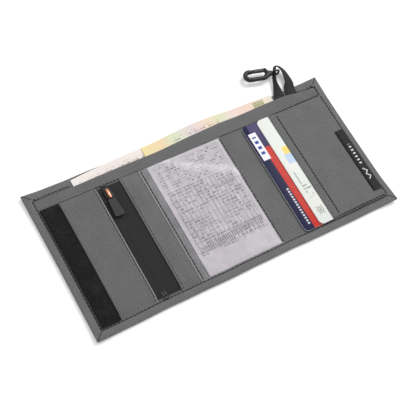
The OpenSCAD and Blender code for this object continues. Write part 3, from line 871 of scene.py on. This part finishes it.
def window_pieces():
    """The printed slip and the clear film over it."""
    paper_low, paper_high = low("insert_paper"), high("insert_paper")
    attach(cloth("paper_slip", rows(paper_low.x, paper_high.x, 3), rows(paper_low.y, paper_high.y, 3),
                  lambda x, y: paper_high.z + 0.03 * math.sin(x / 6 + y / 11), SHEET_THICK, printed_paper,
                  ["insert_paper"]), "insert")
    film = cloth("window_sheet", rows(WINDOW_LEFT, WINDOW_RIGHT, 1.6),
                 rows(SEAM_BOTTOM - 1, HEM_BOTTOM + 0.2, 1.8), film_height, SHEET_THICK, clear_film,
                 ["window_film"])
    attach(film, "middle_panel")


def pocket_height(x, y):
    """The card pocket's face: it bulges over the two cards and drops steeply at its sewn edges."""
    ends = seam_drop(y - SEAM_BOTTOM + 0.5, 0.8) * seam_drop(HEM_BOTTOM + 0.5 - y, 0.8)
    cards = seam_drop(SEAM_RIGHT + 0.6 - x, 1.0)
    flat = PANEL_Z + 0.25
    swell = 0.1 * noise.noise(Vector((x / 14, y / 14, 9)))
    return flat + (CARD_FACE_Z - flat) * ends * cards + swell * ends


def card_pocket():
    """The card panel, the pocket's hemmed face, the two cards and the folded label."""
    xs = stations(WINDOW_RIGHT - 0.6, SEAM_RIGHT + 2)
    panel = cloth("card_panel_cloth", xs, rows(SEAM_BOTTOM - 2, HEM_BOTTOM + 0.2), lambda x, y: PANEL_Z,
                  PANEL_THICK, oxford_nylon, ["card_panel_middle", "card_panel_right"])
    bend(panel, "right")
    mouth = POCKET_MOUTH
    xs = [mouth, mouth + 0.3, mouth + 1.2, *rows(mouth + 2.4, SEAM_RIGHT - 2, 2.4),
          *rows(SEAM_RIGHT - 1, SEAM_RIGHT + 0.8, 0.2)]
    ys = [*rows(SEAM_BOTTOM - 0.6, SEAM_BOTTOM + 0.6, 0.2), *rows(SEAM_BOTTOM + 3, HEM_BOTTOM - 3),
          *rows(HEM_BOTTOM - 0.6, HEM_BOTTOM + 0.6, 0.2)]

    def hemmed(x, y):
        fold = 0.3 * ease((x - mouth + 0.1) / 0.5) * ease((mouth + 6.6 - x) / 0.8)
        return pocket_height(x, y) + fold

    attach(cloth("card_pocket_cloth", xs, ys, hemmed, 0.28, oxford_nylon,
                  ["card_pocket_face"]), "right_panel")
    for node, material, slot, body in (("card_navy", navy_pvc, "card_navy", "rear_card"),
                                       ("card_white", white_pvc, "card_white", "front_card")):
        card(node, material, body)
    label_low, label_high = low("side_label"), high("side_label")

    def folded(x, y):
        droop = ease((x - label_low.x) / 1.0)
        return pocket_height(x, y) + 0.4 + 0.45 * droop * (1 - ease((x - SEAM_RIGHT + 1.5) / 2))

    label = cloth("folded_label", rows(label_low.x, label_high.x - 0.2, 0.6),
                  rows(label_low.y, label_high.y, 2.5), folded, 0.34, satin_label,
                  ["side_label"])
    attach(label, "label")


def card(node, material, body):
    """A laminated card: rounded corners, a slight bevel and a pale cut edge."""
    bm = from_node(node)
    rims = [e for e in bm.edges if abs(e.calc_face_angle(0) - math.pi / 2) < 0.1]
    bmesh.ops.bevel(bm, geom=rims, offset=0.12, segments=2, profile=0.5, affect="EDGES", material=-1)
    uv = bm.loops.layers.uv.verify()
    corner = low(node)
    for face in bm.faces:
        face.material_index = 0 if abs(face.normal.z) > 0.5 else 1
        for loop in face.loops:
            loop[uv].uv = ((loop.vert.co.x - corner.x) / UV_SPAN, (loop.vert.co.y - corner.y) / UV_SPAN)
    piece = finished(bm, f"{node}_laminate", material, [node])
    piece.data.materials.append(card_core)
    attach(piece, body)


# ---------------------------------------------------------------- notes

def notes():
    """The two notes, standing out of the compartment a little askew."""
    for name, far, near, side, material, slot in (
            ("note_a", "note_a_left", "note_a_middle", "left", pale_note, "note_pale"),
            ("note_b", "note_b_right", "note_b_middle", "right", warm_note, "note_warm")):
        x0 = min(low(far).x, low(near).x)
        x1 = max(high(far).x, high(near).x)
        base = high(far).z
        ys = rows(low(far).y, high(far).y, 2.4)

        def paper(x, y, base=base, name=name):
            free = ease((y - WALL_TOP) / 6)
            wave = (1 + math.sin(x / (7 if name == "note_a" else 8.5) + y / 9)) * free
            return base + wave * (0.04 if name == "note_a" else 0.2)

        def settle(x, y, name=name):
            if name == "note_a":
                lean = -0.065 * max(0, LEFT_FOLD - 3 - x)
            else:
                lean = -0.4 - 0.035 * max(0, x - 20) - 0.055 * max(0, 10 - x)
            return lean * ease((y - 25) / 22)

        piece = cloth(name + "_paper", stations(x0, x1, 2.2), ys, paper, SHEET_THICK, material,
                      [far, near], shift=settle)
        if side == "left":
            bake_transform(piece)
        else:
            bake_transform(piece)


# ---------------------------------------------------------------- webbing and hook

def along_curve(points, steps):
    """Points on a smooth curve through points, which may be of any number of values."""
    curve = []
    for i in range(len(points) - 1):
        four = points[max(i - 1, 0)], points[i], points[i + 1], points[min(i + 2, len(points) - 1)]
        for s in range(steps if i < len(points) - 2 else steps + 1):
            t = s / steps
            curve.append([0.5 * (2 * b + (c - a) * t + (2 * a - 5 * b + 4 * c - d) * t * t
                                 + (3 * b - a - 3 * c + d) * t ** 3) for a, b, c, d in zip(*four)])
    return curve


def webbing_strap():
    """One narrow strap, up through the ring and back: flat where it is sewn in, on edge at the ring."""
    # each stop is the strap's centre x, y and z, then its twist in degrees and its width
    stops = [(81.3, 40, 1.65, 0, 8.0), (81.6, 50, 1.75, 0, 8.0), (82.8, 55, 2.1, 6, 5.8),
             (84.1, 60.5, 2.9, 20, 3.4), (85.8, 65, 3.6, 45, 3.0), (88.2, 69, 4.3, 70, 3.4),
             (90.2, 71.6, 4.6, 62, 3.2), (92.6, 70.8, 4.4, 45, 3.6), (94.3, 67, 3.8, 32, 4.4),
             (94.5, 62, 3.0, 18, 5.2), (93.8, 57, 2.3, 8, 6.6), (91.4, 52, 1.85, 0, 8.0),
             (90.4, 40, 1.65, 0, 8.0)]
    half_thick = 0.45
    curve = along_curve(stops, 8)
    centres = [Vector(values[:3]) for values in curve]
    # the strap's section, as shares of its half width and half thickness
    section = [(1, 0.5), (0.9, 1), (0, 1.1), (-0.9, 1), (-1, 0.5), (-1, -0.5), (-0.9, -1), (0, -1.1),
               (0.9, -1), (1, -0.5)]
    bm = bmesh.new()
    bmesh.ops.create_grid(bm, x_segments=len(curve) - 1, y_segments=len(section), size=0.5)
    for v in bm.verts:
        i = round((v.co.x + 0.5) * (len(curve) - 1))
        twist, width = curve[i][3:]
        ahead = centres[min(i + 1, len(centres) - 1)] - centres[max(i - 1, 0)]
        across = Vector((ahead.y, -ahead.x, 0)).normalized()
        up = across.cross(ahead.normalized())
        turn = math.radians(twist)
        wide = (across * math.cos(turn) + up * math.sin(turn)) * width / 2
        deep = (up * math.cos(turn) - across * math.sin(turn)) * half_thick
        a, b = section[round((v.co.y + 0.5) * len(section)) % len(section)]
        v.co = centres[i] + wide * a + deep * b
    bmesh.ops.remove_doubles(bm, verts=bm.verts[:], dist=0.0001)
    bmesh.ops.holes_fill(bm, edges=[e for e in bm.edges if e.is_boundary], sides=0)
    bmesh.ops.recalc_face_normals(bm, faces=bm.faces[:])
    strap = finished(bm, "webbing_strap", webbing_ribs, ["webbing_tab", "webbing_loop"])
    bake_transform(strap)


def hook_body():
    """The snap hook's body: a stout loop from the barrel round the nose, with an ear for the gate's pin."""
    joint = next(j for j in frame["joints"] if j["name"] == "hook_swivel")
    u = Vector(joint["axis"])
    v = Vector((u.y, -u.x, 0))
    origin = joint_at["hook_swivel"]
    nose, loop = 19.6, 3.15  # how far out the nose's centre is, and its centre line's radius
    half_height = 1.85
    # along the barrel, then the arm; each point is its u, its v and the moulding's half width there
    path = [(3.6, 0, 2.0), (4.6, 0, 2.3), (5.8, -0.4, 2.3), (7.4, -1.9, 1.9), (9.4, -3.0, 1.65),
            (12, -loop, 1.6), (15, -loop, 1.65), (nose - 1, -loop, 1.75)]
    for i in range(9):
        angle = math.radians(-90 + 180 * i / 8)
        path.append((nose + loop * math.cos(angle), loop * math.sin(angle), 1.75))
    path.append((nose - 2.2, loop, 1.6))
    ear = [(5.8, 0.4, 1.9), (6.6, 2.0, 1.6), (7.4, 3.2, 1.5)]
    bm = bmesh.new()
    for line in (path, ear):
        for (u0, v0, r0), (u1, v1, r1) in zip(line, line[1:]):
            for k in range(4):
                t = k / 4
                centre = origin + u * (u0 + (u1 - u0) * t) + v * (v0 + (v1 - v0) * t)
                radius = r0 + (r1 - r0) * t
                ball = bmesh.ops.create_icosphere(bm, subdivisions=2, radius=1)["verts"]
                size = Matrix.Diagonal((radius, radius, min(radius, half_height), 1))
                bmesh.ops.transform(bm, matrix=Matrix.Translation(centre) @ size, verts=ball)
    skinned(finished(bm, "hook_moulding", acetal, ["snap_hook"]), 0.22, 4, "hook")


def hook_pieces():
    """The swivel ring, the snap hook and its gate."""
    moulded("swivel_ring", "ring_moulding", 0.16, 5, acetal, "swivel")
    hook_body()
    moulded("hook_gate", "gate_moulding", 0.2, 6, acetal, "gate")


def dress_cad_pieces():
    """Materials for the CAD nodes that are seen as they are."""
    for node, material in (("zip_coil_left", monofilament), ("zip_coil_right", monofilament),
                           ("zip_top_stop", monofilament), ("zip_bottom_stop", monofilament),
                           ("coin_pocket_bag", polyester_lining), ("gate_pin", steel),
                           ("loop_strip", hook_tape)):
        frame["nodes"][node].data.materials[0] = material


shell_pieces()
border_pieces()
coin_pocket()
zip_pieces()
window_pieces()
card_pocket()
notes()
webbing_strap()
hook_pieces()
dress_cad_pieces()
stitching()
# Painted highlights along the folded edges beside the zip and the window.
painted_highlight_edge("worn_edge_zip", ZIP_OPEN[0] - 0.1, coin_height, "left_panel")
painted_highlight_edge("worn_edge_window", WINDOW_LEFT - 0.5, lambda x, y: coin_height(x, y) + 0.15, "middle_panel")


# ---------------------------------------------------------------- table, light and camera

def table_light_and_camera():
    """A pale table under soft light, seen from in front, above and to the left."""
    world = bpy.data.worlds.new("studio") if not bpy.context.scene.world else bpy.context.scene.world
    bpy.context.scene.world = world
    world.use_nodes = True
    background = world.node_tree.nodes["Background"]
    background.inputs["Color"].default_value = rgb("#ffffff")
    background.inputs["Strength"].default_value = 0.6
    bm = bmesh.new()
    bmesh.ops.create_grid(bm, x_segments=1, y_segments=1, size=6)
    mesh = bpy.data.meshes.new("table")
    bm.to_mesh(mesh)
    bm.free()
    table = bpy.data.objects.new("table", mesh)
    table.location.z = -0.0002
    bpy.context.scene.collection.objects.link(table)
    paint, _, _ = plain_material("white_table", "#ffffff", 0.9, Specular_IOR_Level=0.1,
                                 Emission_Color=rgb("#ffffff"), Emission_Strength=0.16)
    mesh.materials.append(paint)
    for name, place, size, power in (("key", (0.75, 0.35, 1.0), 0.7, 10), ("fill", (-0.6, 0.9, 1.0), 1.0, 2)):
        data = bpy.data.lights.new(name, "AREA")
        data.size = size
        data.energy = power
        lamp = bpy.data.objects.new(name, data)
        lamp.location = place
        lamp.rotation_euler = (-Vector(place)).to_track_quat("-Z", "Y").to_euler()
        bpy.context.scene.collection.objects.link(lamp)
    camera = bpy.data.objects.new("camera", bpy.data.cameras.new("camera"))
    camera.data.lens = 86.54
    camera.data.sensor_width = 36
    place = (-0.24265, -0.20327, 0.57503)
    right = Vector((0.85297, -0.49049, 0.17850))
    up = Vector((0.37741, 0.81580, 0.43821))
    turn = Matrix((right, up, right.cross(up))).transposed().to_4x4()
    camera.matrix_world = Matrix.Translation(place) @ turn
    bpy.context.scene.collection.objects.link(camera)
    bpy.context.scene.camera = camera
    bpy.context.scene.view_settings.view_transform = "Standard"


table_light_and_camera()
